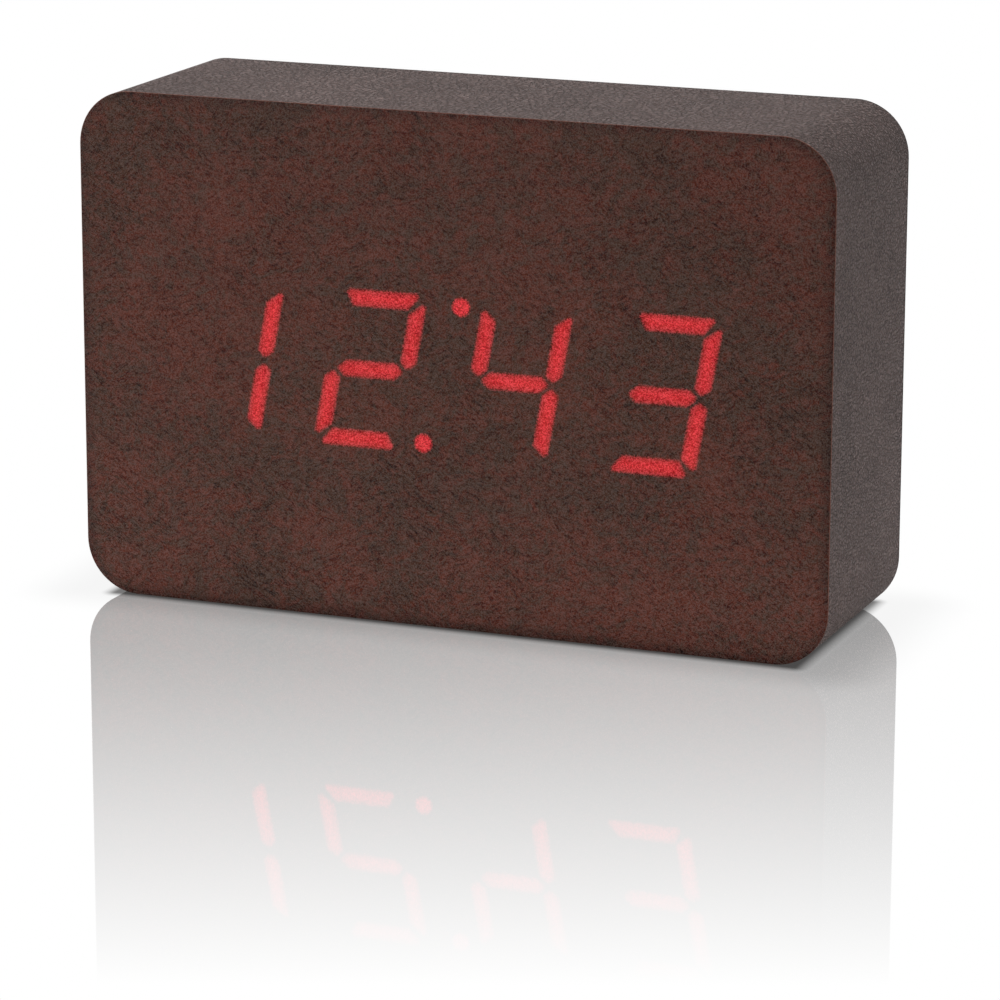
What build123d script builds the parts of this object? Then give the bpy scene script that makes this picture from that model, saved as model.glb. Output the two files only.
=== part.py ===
"""Desk clock in a leather-look brick case, with a lit seven-segment display behind its front film.

Millimetres. +X is to the right of the display, +Z is up and the display faces -Y. The origin is
at the centre of the overall box, on the surface that the clock stands on.
"""

import os
from math import cos, pi, sin, sqrt

from build123d import *

# The case
case_width = 150.0
case_height = 98.0
case_depth = 45.0
case_corner_radius = 10.5
film_thickness = 0.4
wrap_thickness = 0.8
wrap_seam_gap = 0.3
ring_wall = 6.0
front_board_thickness = 3.0
rear_board_thickness = 4.0

# The digits, as they light through the film
digit_height = 30.0
digit_gap = 11.2
display_side_margin = 22.6
stroke = 3.0
end_bar_outer_inset = 1.3
end_bar_inner_inset = 3.4
middle_bar_tip_inset = 2.25
middle_bar_shoulder_inset = 3.9
middle_drop = 0.1
post_outer_inset = 1.5
post_inner_inset = 3.9
post_tip_gap = 0.65
post_shoulder_gap = 1.9
lower_right_post_extra = 0.5
segment_corner_radius = 0.6
display_left_shift = 0.8
display_drop = 0.3
dot_diameter = 3.2
dot_side_shift = 3.8
dot_inset = 1.75
slant_share = 0.185
shown_time = "1243"

# The display stack behind the front board
diffuser_thickness = 0.3
reflector_thickness = 6.0
reflector_margin = 6.0
reflector_side_gap = 5.2
display_board_margin = 2.0
display_board_side_gap = 3.2
board_thickness = 1.2
lamp_length = 2.0
lamp_width = 1.25
lamp_height = 0.8
post_lamp_spacing = 6.0
bar_lamp_share = 0.6
display_screw_inset = 3.2
display_screw_reach = 2.2

# The plastic housing in the back
housing_corner_radius = 4.0
housing_proud = 2.4
housing_wall = 1.5
housing_fit = 0.3
tub_margin_x = 4.0
rail_width = 5.4
housing_screw_inset_x = 6.0
housing_screw_inset_z = 2.4

# The battery bay and its sliding door
cell_diameter = 10.5
cell_length = 44.5
cell_gap = 0.4
cell_count = 4
cell_button_diameter = 3.8
cell_button_height = 0.8
cell_edge_radius = 0.4
bay_side_gap = 0.6
cell_floor_gap = 0.2
cell_door_gap = 0.4
cradle_width = 1.2
cradle_height = 2.4
cradle_end_inset = 6.0
door_ledge = 0.5
door_clearance = 0.2
door_tongue_reach = 1.2
door_tongue_thickness = 0.8
door_overlap_x = 2.5
door_overlap_z = 0.5
grip_groove_width = 0.9
grip_groove_depth = 0.5
grip_groove_length = 22.0
grip_groove_pitch = 2.2
grip_groove_inset = 4.5
grip_groove_count = 5

# The battery contacts
contact_thickness = 0.4
contact_height = 8.6
contact_depth = 8.0
contact_tail_width = 2.4
contact_tail_reach = 3.0
spring_wire = 0.6
spring_outer_diameter = 6.4
spring_room = 5.7
spring_end_gap = 0.05
spring_turns = 4
arcs_per_turn = 4
lead_diameter = 1.3
lead_run = 4.0
lead_bend_share = 0.9

# The buttons and their switches
button_diameter = 6.0
button_proud = 0.8
button_guide_gap = 0.1
button_flange_diameter = 8.0
button_flange_thickness = 1.0
button_foot_length = 1.6
button_rest_gap = 0.05
button_dish_depth = 0.25
button_dish_diameter = 4.4
button_edge_radius = 0.3
button_travel = 0.6
switch_side = 6.0
switch_body_height = 3.5
plunger_diameter = 3.0
plunger_proud = 1.5
plunger_buried = 1.2
plunger_gap = 0.03
plunger_floor_gap = 0.4
arrow_mark_side = 3.0
arrow_mark_depth = 0.25
arrow_mark_gap = 2.2

# The power socket, the microphone and the temperature sensor
socket_side = 7.6
socket_nose_diameter = 6.0
socket_nose_gap = 0.2
socket_nose_recess = 0.4
socket_bore_diameter = 3.6
socket_bore_depth = 8.0
socket_pin_diameter = 1.3
socket_pin_recess = 1.0
microphone_diameter = 6.0
microphone_height = 4.4
microphone_hole_diameter = 1.8
microphone_wall = 1.0
microphone_wall_height = 3.0
microphone_gap = 0.05
lead_wire_diameter = 0.6
lead_wire_spacing = 2.5
sensor_bead_diameter = 2.2
sensor_wire_spacing = 1.2
sensor_setback = 2.0
vent_length = 7.0
vent_width = 1.0
vent_pitch = 2.2
vent_count = 3

# Places on the control board
button_names = ["set", "up", "down"]
first_column_inset = 11.5
button_pitch = 14.0
button_row_rise = 10.0
low_row_fall = 11.5
board_gap = 0.6
boss_diameter = 4.6
boss_inset_x = 3.9
boss_inset_z = 4.0
control_end_gap = 7.85

# Parts on the two boards
buzzer_diameter = 12.0
buzzer_height = 7.5
buzzer_hole_diameter = 2.0
buzzer_hole_depth = 1.5
buzzer_inset = 9.0
buzzer_gap = 3.35
buzzer_drop = 2.0
chip_length = 17.9
chip_width = 7.5
chip_height = 2.3
chip_leg_reach = 1.4
chip_leg_width = 0.4
chip_leg_pitch = 1.27
chip_legs_per_side = 14
controller_rise = 9.5
driver_left_shift = 1.0
driver_drop = 8.0
crystal_length = 10.5
crystal_width = 4.4
crystal_height = 3.5
crystal_rise = 1.0
capacitor_diameter = 6.3
capacitor_height = 7.5
capacitor_gap = 0.9
capacitor_spacing = 8.0
capacitor_rise = 10.0
header_length = 20.3
header_width = 5.0
header_height = 6.0
display_header_rise = 14.0
control_header_drop = 6.0
ribbon_width = 17.8
ribbon_thickness = 1.0
ribbon_bend_share = 0.6038

# Screws
screw_diameter = 2.0
screw_gap = 0.15
pilot_gap = 0.02
pilot_end_gap = 1.0
small_head_diameter = 3.8
small_head_height = 1.4
board_screw_length = 5.0
housing_screw_diameter = 2.6
housing_screw_length = 5.0
housing_head_diameter = 4.4
housing_head_height = 1.2
head_recess_gap = 0.2
head_edge_radius = 0.35
cross_length_share = 0.62
cross_width_share = 0.16
cross_depth_share = 0.6

# How far each cut runs past the faces that it goes through
overrun = 1.0

# Stations along the depth, from the front film to the button caps
overall_depth = case_depth + housing_proud + button_proud
front_y = -overall_depth / 2
back_y = front_y + case_depth
housing_back_y = back_y + housing_proud
front_board_front = front_y + film_thickness
front_board_back = front_board_front + front_board_thickness
rear_board_back = back_y - film_thickness
rear_board_front = rear_board_back - rear_board_thickness
diffuser_back = front_board_back + diffuser_thickness
reflector_back = diffuser_back + reflector_thickness
display_board_back = reflector_back + board_thickness
switch_stack = switch_body_height + plunger_proud
control_board_back = back_y - button_rest_gap - button_flange_thickness - button_foot_length - switch_stack
control_board_front = control_board_back - board_thickness
door_inner = back_y + door_ledge + door_clearance
bay_floor = door_inner - cell_door_gap - cell_diameter - cell_floor_gap
cell_axis_y = bay_floor + cell_floor_gap + cell_diameter / 2
tub_front = bay_floor - housing_wall

# Stations across the width of the display, which fills the case between its side margins
display_x = -display_left_shift
digit_count = len(shown_time)
digit_width = (case_width - 2 * display_side_margin - (digit_count - 1) * digit_gap) / digit_count
digit_pitch = digit_width + digit_gap
inner_width = case_width - 2 * (wrap_thickness + ring_wall)
reflector_width = inner_width - 2 * reflector_side_gap
display_board_width = inner_width - 2 * display_board_side_gap

# Stations across the width of the housing, which holds the controls, a wall and the bay side by side
chip_inset = buzzer_inset + buzzer_diameter / 2 + buzzer_gap + header_length / 2
capacitor_inset = chip_inset + chip_length / 2 + capacitor_gap + capacitor_diameter / 2
control_width = capacitor_inset + capacitor_diameter / 2 + control_end_gap
bay_length = cell_length + spring_room + 2 * contact_thickness
tub_half_width = (control_width + bay_length + 3 * housing_wall) / 2
housing_width = 2 * (tub_half_width + tub_margin_x)
control_left = -tub_half_width + housing_wall
divider_left = control_left + control_width
bay_left = divider_left + housing_wall
bay_right = bay_left + bay_length
door_left = bay_left - door_overlap_x
door_right = housing_width / 2
door_length = door_right - door_left
control_x = control_left + control_width / 2
first_column_x = control_left + first_column_inset
button_places_x = [first_column_x + index * button_pitch for index in range(len(button_names))]
socket_x, microphone_x, sensor_x = button_places_x
buzzer_x = control_left + buzzer_inset
chip_x = control_left + chip_inset
capacitor_x = control_left + capacitor_inset

# Stations over the height
middle_z = case_height / 2
display_z = middle_z - display_drop
cell_pitch = cell_diameter + cell_gap
cell_offsets = [((cell_count - 1) / 2 - index) * cell_pitch for index in range(cell_count)]
bay_half_height = cell_offsets[0] + cell_diameter / 2 + bay_side_gap
tub_half_height = bay_half_height + housing_wall
door_half_height = tub_half_height + door_overlap_z
housing_height = 2 * (door_half_height + door_clearance + door_tongue_reach + rail_width)
reflector_height = digit_height + 2 * reflector_margin
display_board_height = reflector_height + 2 * display_board_margin
button_row_z = middle_z + button_row_rise
low_row_z = middle_z - low_row_fall


def layer(outline, front, back):
    """The outline, drawn in X and Z, as a slab between two stations of Y."""
    face_plane = Plane(origin=(0, back, 0), x_dir=(1, 0, 0), z_dir=(0, -1, 0))
    return extrude(face_plane * outline, back - front, dir=(0, -1, 0))


def block(x_span, y_span, z_span):
    """A rectangular block between the given stations."""
    size = [high - low for low, high in (x_span, y_span, z_span)]
    centre = [(low + high) / 2 for low, high in (x_span, y_span, z_span)]
    return Pos(*centre) * Box(*size)


def rod(x, z, front, back, diameter):
    """A round bar along Y."""
    return layer(Pos(x, z) * Circle(diameter / 2), front, back)


def around(centre, width):
    """The two ends of a span of the given width about a centre."""
    return centre - width / 2, centre + width / 2


def case_outline(inset):
    """The rounded rectangle of the case, drawn in by the inset."""
    shape = RectangleRounded(case_width - 2 * inset, case_height - 2 * inset, case_corner_radius - inset)
    return Pos(0, middle_z) * shape


def end_bar(level):
    """Top or bottom bar of a digit, in upright coordinates about the digit's centre."""
    outer = level * digit_height / 2
    inner = outer - level * stroke
    long_half = digit_width / 2 - end_bar_outer_inset
    short_half = digit_width / 2 - end_bar_inner_inset
    return [(-long_half, outer), (long_half, outer), (short_half, inner), (-short_half, inner)]


def middle_bar():
    """Middle bar of a digit, pointed at both ends."""
    tip = digit_width / 2 - middle_bar_tip_inset
    shoulder = digit_width / 2 - middle_bar_shoulder_inset
    top = stroke / 2 - middle_drop
    bottom = -stroke / 2 - middle_drop
    return [(-tip, -middle_drop), (-shoulder, top), (shoulder, top),
            (tip, -middle_drop), (shoulder, bottom), (-shoulder, bottom)]


def post(side, level, extra=0):
    """Upright bar of a digit, pointed towards the middle bar; its other end can reach further."""
    outer = side * digit_width / 2
    inner = outer - side * stroke
    shoulder = level * post_shoulder_gap - middle_drop
    tip = level * post_tip_gap - middle_drop
    outer_end = level * (digit_height / 2 - post_outer_inset + extra)
    inner_end = level * (digit_height / 2 - post_inner_inset + extra)
    return [(outer, outer_end), (outer, shoulder), ((outer + inner) / 2, tip),
            (inner, shoulder), (inner, inner_end)]


segment_shapes = {
    "a": end_bar(1), "b": post(1, 1), "c": post(1, -1, lower_right_post_extra), "d": end_bar(-1),
    "e": post(-1, -1), "f": post(-1, 1), "g": middle_bar(),
}
segments_of_numeral = {"1": "bc", "2": "abged", "3": "abgcd", "4": "fgbc"}
digit_centres_x = [display_x + (index - (digit_count - 1) / 2) * digit_pitch for index in range(digit_count)]
dot_rise = digit_height / 2 - dot_inset
dot_centres = [(display_x + side * dot_side_shift, display_z + side * dot_rise) for side in (1, -1)]


def segment_window(letter, centre_x):
    """Outline of one segment, slanted and placed on the front."""
    corners = [(centre_x + u + slant_share * v, display_z + v) for u, v in segment_shapes[letter]]
    outline = Polygon(*corners, align=None)
    return fillet(outline.vertices(), segment_corner_radius)


def dot_windows():
    """Outlines of the two colon dots."""
    return [Pos(x, z) * Circle(dot_diameter / 2) for x, z in dot_centres]


def all_windows():
    """Outlines of every segment and dot that the display can light."""
    segments = [segment_window(letter, x) for x in digit_centres_x for letter in segment_shapes]
    return segments + dot_windows()


def shown_windows():
    """Outlines of the segments and dots that are lit at the time shown."""
    segments = [
        segment_window(letter, x)
        for numeral, x in zip(shown_time, digit_centres_x)
        for letter in segments_of_numeral[numeral]
    ]
    return segments + dot_windows()


def front_skin():
    """Film over the whole front, apart from the lit areas."""
    lit = [layer(window, front_y - overrun, front_board_front + overrun) for window in shown_windows()]
    return layer(case_outline(0), front_y, front_board_front) - lit


def lit_windows():
    """The areas of the film that glow, one solid for each lit segment or dot."""
    return Compound([layer(window, front_y, front_board_front).solid() for window in shown_windows()])


def front_panel():
    """Fibreboard front with a milled window for every segment, and pilots for the display screws."""
    windows = [
        layer(window, front_board_front - overrun, front_board_back + overrun) for window in all_windows()
    ]
    pilot_front = front_board_back - display_screw_reach
    pilot_diameter = screw_diameter + 2 * pilot_gap
    pilots = [
        rod(x, z, pilot_front, front_board_back + overrun, pilot_diameter) for x, z in display_screw_places()
    ]
    return layer(case_outline(wrap_thickness), front_board_front, front_board_back) - windows - pilots


def case_ring():
    """Fibreboard ring between the front and the rear board."""
    outside = layer(case_outline(wrap_thickness), front_board_back, rear_board_front)
    inset = wrap_thickness + ring_wall
    bore_radius = case_corner_radius - wrap_thickness - ring_wall
    bore = RectangleRounded(case_width - 2 * inset, case_height - 2 * inset, bore_radius)
    return outside - layer(Pos(0, middle_z) * bore, front_board_back - overrun, rear_board_front + overrun)


def side_wrap():
    """Leather-look band round the four sides, with its butt seam in the middle of the underside."""
    outside = layer(case_outline(0), front_board_front, rear_board_back)
    inside = layer(case_outline(wrap_thickness), front_board_front - overrun, rear_board_back + overrun)
    seam = block(around(0, wrap_seam_gap), (front_y, back_y), (-overrun, wrap_thickness + overrun))
    return outside - inside - seam


def cut_out():
    """Outline of the opening that the housing's tub goes through."""
    width = 2 * (tub_half_width + housing_fit)
    height = 2 * (tub_half_height + housing_fit)
    return Pos(0, middle_z) * Rectangle(width, height)


def rear_panel():
    """Fibreboard back with the opening for the housing, and pilots for its screws."""
    board = layer(case_outline(wrap_thickness), rear_board_front, rear_board_back)
    opening = layer(cut_out(), rear_board_front - overrun, rear_board_back + overrun)
    pilot_diameter = housing_screw_diameter + 2 * pilot_gap
    pilots = [
        rod(x, z, rear_board_front - overrun, rear_board_back + overrun, pilot_diameter)
        for x, z in housing_screw_places()
    ]
    return board - opening - pilots


def rear_skin():
    """Film over the back, with the same opening and holes for the screws."""
    opening = layer(cut_out(), rear_board_back - overrun, back_y + overrun)
    holes = [
        rod(x, z, rear_board_back - overrun, back_y + overrun, housing_screw_diameter + 2 * screw_gap)
        for x, z in housing_screw_places()
    ]
    return layer(case_outline(0), rear_board_back, back_y) - opening - holes


def display_screw_places():
    """Corners of the reflector where screws hold the display to the front board."""
    half_x = reflector_width / 2 - display_screw_inset
    half_z = reflector_height / 2 - display_screw_inset
    return [(display_x + side * half_x, display_z + level * half_z) for side in (-1, 1) for level in (-1, 1)]


def display_screw_holes(front, back):
    """Clearance holes for the display screws through one layer of the display."""
    return [rod(x, z, front, back, screw_diameter + 2 * screw_gap) for x, z in display_screw_places()]


def diffuser_sheet():
    """Milky sheet that evens out the light."""
    sheet = Pos(display_x, display_z) * Rectangle(reflector_width, reflector_height)
    holes = display_screw_holes(front_board_back - overrun, diffuser_back + overrun)
    return layer(sheet, front_board_back, diffuser_back) - holes


def reflector_frame():
    """White block with one light well for each window."""
    body = Pos(display_x, display_z) * Rectangle(reflector_width, reflector_height)
    wells = [layer(window, diffuser_back - overrun, reflector_back + overrun) for window in all_windows()]
    holes = display_screw_holes(diffuser_back - overrun, reflector_back + overrun)
    return layer(body, diffuser_back, reflector_back) - wells - holes


def display_board():
    """Circuit board that closes the light wells at the back."""
    board = Pos(display_x, display_z) * Rectangle(display_board_width, display_board_height)
    holes = display_screw_holes(reflector_back - overrun, display_board_back + overrun)
    return layer(board, reflector_back, display_board_back) - holes


def lamp(x, z, upright):
    """One surface-mounted lamp with a slightly smaller lens on its base."""
    across, along = (lamp_width, lamp_length) if upright else (lamp_length, lamp_width)
    lens_inset = lamp_width / 6
    base_top = reflector_back - lamp_height / 2
    lens_top = reflector_back - lamp_height
    base = block(around(x, across), (base_top, reflector_back), around(z, along))
    lens = block(around(x, across - lens_inset), (lens_top, base_top), around(z, along - lens_inset))
    return (base + lens).solid()


def segment_leds():
    """Two lamps in each segment's well and one behind each dot."""
    lamps = []
    bar_reach = bar_lamp_share * (digit_width / 2 - middle_bar_shoulder_inset)
    for centre_x in digit_centres_x:
        for letter, corners in segment_shapes.items():
            middle_u = (min(u for u, v in corners) + max(u for u, v in corners)) / 2
            middle_v = (min(v for u, v in corners) + max(v for u, v in corners)) / 2
            upright = letter in "bcef"
            for side in (-1, 1):
                u = middle_u if upright else middle_u + side * bar_reach
                v = middle_v + side * post_lamp_spacing / 2 if upright else middle_v
                lamps.append(lamp(centre_x + u + slant_share * v, display_z + v, upright))
    return Compound(lamps + [lamp(x, z, False) for x, z in dot_centres])


def screw(x, z, seat, reach, diameter, head_diameter, head_height, towards):
    """A pan-head screw along Y: its head stands on the seat and its shank goes in by the reach."""
    head_top = seat + towards * head_height
    shank_tip = seat - towards * reach
    head = rod(x, z, min(seat, head_top), max(seat, head_top), head_diameter)
    top_edge = head.edges().sort_by(Axis.Y)[-1 if towards > 0 else 0]
    head = fillet(top_edge, head_edge_radius)
    depth = head_height * cross_depth_share
    slot_span = sorted((head_top + towards * overrun, head_top - towards * depth))
    long_arm = head_diameter * cross_length_share
    short_arm = head_diameter * cross_width_share
    for width, height in ((long_arm, short_arm), (short_arm, long_arm)):
        head -= block(around(x, width), slot_span, around(z, height))
    return (head + rod(x, z, min(seat, shank_tip), max(seat, shank_tip), diameter)).solid()


def display_screws():
    """Four screws through the board, the reflector and the diffuser into the front board."""
    reach = display_board_back - front_board_back + display_screw_reach
    return Compound([
        screw(x, z, display_board_back, reach, screw_diameter, small_head_diameter, small_head_height, 1)
        for x, z in display_screw_places()
    ])


def chip(x, z, seat, towards):
    """A flat chip on a board, with its two rows of legs."""
    leg_top = seat + towards * chip_height / 2
    body_top = seat + towards * chip_height
    body = block(around(x, chip_length), sorted((seat, body_top)), around(z, chip_width))
    first_leg = x - chip_leg_pitch * (chip_legs_per_side - 1) / 2
    span_z = around(z, chip_width + 2 * chip_leg_reach)
    legs = [
        block(around(first_leg + index * chip_leg_pitch, chip_leg_width), sorted((seat, leg_top)), span_z)
        for index in range(chip_legs_per_side)
    ]
    return body + legs


def display_driver():
    """Chip that drives the segments, on the back of the display board behind the first two digits."""
    x = display_x - digit_pitch - driver_left_shift
    return chip(x, display_z - driver_drop, display_board_back, 1)


def housing_screw_places():
    """Places of the housing's four screws, above and below the tub."""
    half_x = housing_width / 2 - housing_screw_inset_x
    half_z = housing_height / 2 - housing_screw_inset_z
    return [(side * half_x, middle_z + level * half_z) for side in (-1, 1) for level in (-1, 1)]


def boss_places():
    """Places of the three bosses that carry the control board."""
    left = control_left + boss_inset_x
    right = divider_left - boss_inset_x
    rise = bay_half_height - boss_inset_z
    return [(left, middle_z + rise), (left, middle_z - rise), (right, middle_z)]


def tub():
    """The walled box behind the housing's plate: the control side is open, the battery side is closed."""
    height = 2 * tub_half_height
    inner_height = 2 * bay_half_height
    outside = Pos(0, middle_z) * Rectangle(2 * tub_half_width, height)
    control = Pos(control_x, middle_z) * Rectangle(control_width, inner_height)
    return layer(outside, tub_front, back_y) - layer(control, tub_front - overrun, back_y)


def battery_bay():
    """Space for the four cells, cut into the tub from behind."""
    z_span = around(middle_z, 2 * bay_half_height)
    return block((bay_left, bay_right), (bay_floor, housing_back_y + overrun), z_span)


def door_runway():
    """Recess that the door slides in, with the grooves for its two tongues, open at the right."""
    start = door_left - door_clearance
    end = housing_width / 2 + overrun
    ledge_y = back_y + door_ledge
    groove_back = door_inner + door_tongue_thickness + door_clearance
    open_half = door_half_height + door_clearance
    recess = block((start, end), (ledge_y, housing_back_y + overrun), around(middle_z, 2 * open_half))
    groove_half = open_half + door_tongue_reach
    groove = block((start, end), (ledge_y, groove_back), around(middle_z, 2 * groove_half))
    return recess + groove


def cradle_ribs():
    """Low ribs on the bay's floor between the cells."""
    ribs = []
    for upper, lower in zip(cell_offsets, cell_offsets[1:]):
        z_span = around(middle_z + (upper + lower) / 2, cradle_width)
        x_span = (bay_left + cradle_end_inset, bay_right - cradle_end_inset)
        ribs.append(block(x_span, (bay_floor, bay_floor + cradle_height), z_span))
    return ribs


def arrow_mark(x, direction):
    """Small sunk triangle beside a button, pointing up or down."""
    side = arrow_mark_side
    height = side * sqrt(3) / 2
    centre_z = button_row_z + button_flange_diameter / 2 + arrow_mark_gap
    base_z = centre_z - direction * height / 2
    corners = [(x - side / 2, base_z), (x + side / 2, base_z), (x, base_z + direction * height)]
    return layer(Polygon(*corners, align=None), housing_back_y - arrow_mark_depth, housing_back_y + overrun)


def round_mark(x):
    """Small sunk dot beside the set button."""
    centre_z = button_row_z + button_flange_diameter / 2 + arrow_mark_gap
    return rod(x, centre_z, housing_back_y - arrow_mark_depth, housing_back_y + overrun, arrow_mark_side)


def plate_holes():
    """Every hole through the plate: buttons, socket, microphone, vents and screws."""
    front = back_y - overrun
    back = housing_back_y + overrun
    guide = button_diameter + 2 * button_guide_gap
    holes = [rod(x, button_row_z, front, back, guide) for x in button_places_x]
    holes.append(rod(socket_x, low_row_z, front, back, socket_nose_diameter + 2 * socket_nose_gap))
    holes.append(rod(microphone_x, low_row_z, front, back, microphone_hole_diameter))
    for index in range(vent_count):
        vent_z = low_row_z + (index - (vent_count - 1) / 2) * vent_pitch
        vent = Pos(sensor_x, vent_z) * SlotOverall(vent_length, vent_width)
        holes.append(layer(vent, front, back))
    for x, z in housing_screw_places():
        holes.append(rod(x, z, front, back, housing_screw_diameter + 2 * screw_gap))
        recess = housing_head_diameter + 2 * head_recess_gap
        holes.append(rod(x, z, housing_back_y - housing_head_height, back, recess))
    return holes


def board_bosses():
    """Bosses between the plate and the control board, with pilots for the board's screws."""
    pilot_back = control_board_front + board_screw_length + pilot_end_gap
    pilot_diameter = screw_diameter + 2 * pilot_gap
    return [
        rod(x, z, control_board_back, back_y, boss_diameter)
        - rod(x, z, control_board_back - overrun, pilot_back, pilot_diameter)
        for x, z in boss_places()
    ]


def microphone_wall_ring():
    """Round wall behind the plate that holds the microphone."""
    bore = microphone_diameter + 2 * microphone_gap
    front = back_y - microphone_wall_height
    outside = rod(microphone_x, low_row_z, front, back_y, bore + 2 * microphone_wall)
    return outside - rod(microphone_x, low_row_z, front - overrun, back_y, bore)


def tail_slots():
    """Slots in the wall between the bay and the controls for the two contact tails."""
    width = contact_tail_width + 2 * door_clearance
    depth = contact_thickness + 2 * door_clearance
    return [
        block((divider_left - overrun, bay_left + overrun), around(cell_axis_y, depth), around(z, width))
        for z in (middle_z + cell_offsets[0], middle_z + cell_offsets[-1])
    ]


def control_housing():
    """Black plastic housing: plate on the back, battery bay, and walls round the controls."""
    outline = Pos(0, middle_z) * RectangleRounded(housing_width, housing_height, housing_corner_radius)
    plate = layer(outline, back_y, housing_back_y)
    body = plate + tub()
    body = body - battery_bay() - door_runway() - plate_holes() - tail_slots()
    set_x, up_x, down_x = button_places_x
    body = body - round_mark(set_x) - arrow_mark(up_x, 1) - arrow_mark(down_x, -1)
    return body + cradle_ribs() + board_bosses() + microphone_wall_ring()


def housing_screws():
    """Four screws that hold the housing to the rear board."""
    seat = housing_back_y - housing_head_height
    return Compound([
        screw(x, z, seat, housing_screw_length, housing_screw_diameter,
              housing_head_diameter, housing_head_height, 1)
        for x, z in housing_screw_places()
    ])


def battery_door():
    """Door of the battery bay, with a tongue along each long edge and grip grooves near its end."""
    length_span = (door_left, door_right)
    plate = block(length_span, (door_inner, housing_back_y), around(middle_z, 2 * door_half_height))
    tongue_half = door_half_height + door_tongue_reach
    tongue_span = (door_inner, door_inner + door_tongue_thickness)
    door = plate + block(length_span, tongue_span, around(middle_z, 2 * tongue_half))
    for index in range(grip_groove_count):
        x = door_right - grip_groove_inset - index * grip_groove_pitch
        door -= block(
            around(x, grip_groove_width),
            (housing_back_y - grip_groove_depth, housing_back_y + overrun),
            around(middle_z, grip_groove_length),
        )
    return door


def plus_side(index):
    """The cells lie head to tail: -1 when the plus end is at the left, 1 at the right."""
    return -1 if index % 2 == 0 else 1


def cell(index):
    """One battery cell, with its button against the flat contact at its plus end."""
    side = plus_side(index)
    z = middle_z + cell_offsets[index]
    plus_x = bay_left + contact_thickness if side < 0 else bay_right - contact_thickness
    shoulder_x = plus_x - side * cell_button_height
    minus_x = plus_x - side * cell_length
    body_length = abs(shoulder_x - minus_x)
    lying = Rot(0, 90, 0)
    body = Pos((shoulder_x + minus_x) / 2, cell_axis_y, z) * lying * Cylinder(cell_diameter / 2, body_length)
    body = fillet(body.edges().filter_by(GeomType.CIRCLE), cell_edge_radius)
    button = Cylinder(cell_button_diameter / 2, cell_button_height)
    return body + Pos((plus_x + shoulder_x) / 2, cell_axis_y, z) * lying * button


def contact_plate(end, z_low, z_high):
    """Flat contact against one end wall of the bay."""
    wall = bay_left if end < 0 else bay_right
    x_span = sorted((wall, wall - end * contact_thickness))
    return block(x_span, around(cell_axis_y, contact_depth), (z_low, z_high))


def contact_tail(z):
    """Strip that goes from an end contact through the wall to the control side."""
    return block(
        (divider_left - contact_tail_reach, bay_left), around(cell_axis_y, contact_thickness),
        around(z, contact_tail_width),
    )


def contact_plates():
    """Two single contacts with tails at the left, and three links that join two cells each."""
    levels = [middle_z + offset for offset in cell_offsets]
    half = contact_height / 2
    singles = [
        contact_plate(-1, level - half, level + half) + contact_tail(level)
        for level in (levels[0], levels[-1])
    ]
    links = [
        contact_plate(plus_side(index + 1), levels[index + 1] - half, levels[index] + half)
        for index in range(cell_count - 1)
    ]
    return Compound([piece.solid() for piece in singles + links])


def coil_point(start, centre_z, radius, rise, angle):
    """Point and direction on a coil along X that starts at the given X."""
    x = start + rise * angle / (2 * pi)
    place = Vector(x, cell_axis_y + radius * cos(angle), centre_z + radius * sin(angle))
    heading = Vector(rise / (2 * pi), -radius * sin(angle), radius * cos(angle)).normalized()
    return place, heading


def tangent_pair(first, first_heading, second, second_heading):
    """Two arcs that leave one point and reach the next along the given headings."""
    chord = second - first
    both = first_heading + second_heading
    a = both.dot(both) - 4
    b = -2 * chord.dot(both)
    c = chord.dot(chord)
    reach = (-b - sqrt(b * b - 4 * a * c)) / (2 * a)
    if reach < 0:
        reach = (-b + sqrt(b * b - 4 * a * c)) / (2 * a)
    near = first + first_heading * reach
    far = second - second_heading * reach
    join = (near + far) / 2
    return [
        Edge.make_tangent_arc(first, first_heading, join),
        Edge.make_tangent_arc(join, far - near, second),
    ]


def battery_spring(index):
    """Coil spring between a cell's minus end and its contact plate."""
    side = plus_side(index)
    plate_x = bay_right - contact_thickness if side < 0 else bay_left + contact_thickness
    free_length = spring_room - spring_wire - 2 * spring_end_gap
    rise = side * free_length / spring_turns
    start = plate_x + side * (spring_end_gap + spring_wire / 2)
    radius = (spring_outer_diameter - spring_wire) / 2
    centre_z = middle_z + cell_offsets[index]
    stations = [
        coil_point(start, centre_z, radius, rise, 2 * pi * step / arcs_per_turn)
        for step in range(spring_turns * arcs_per_turn + 1)
    ]
    edges = []
    for (first, first_heading), (second, second_heading) in zip(stations, stations[1:]):
        edges += tangent_pair(first, first_heading, second, second_heading)
    path = Wire(edges)
    section = Plane(origin=stations[0][0], z_dir=stations[0][1]) * Circle(spring_wire / 2)
    print("spring", index, "gap between turns", round(abs(rise) - spring_wire, 3))
    return sweep(section, path).solid()


def battery_springs():
    """The four springs, one at the minus end of each cell."""
    return Compound([battery_spring(index) for index in range(cell_count)])


def battery_lead(index):
    """Wire from a contact's tail to its pad on the control board."""
    z = middle_z + cell_offsets[index]
    start = Vector(divider_left - contact_tail_reach, cell_axis_y, z)
    corner = start - Vector(lead_run, 0, 0)
    end = Vector(corner.X, control_board_back, z)
    bend_radius = min((corner - start).length, (end - corner).length) * lead_bend_share
    print("battery lead bend radius", round(bend_radius, 3))
    path = FilletPolyline(start, corner, end, radius=[bend_radius])
    section = Plane(origin=start, z_dir=path % 0) * Circle(lead_diameter / 2)
    return sweep(section, path)


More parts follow.
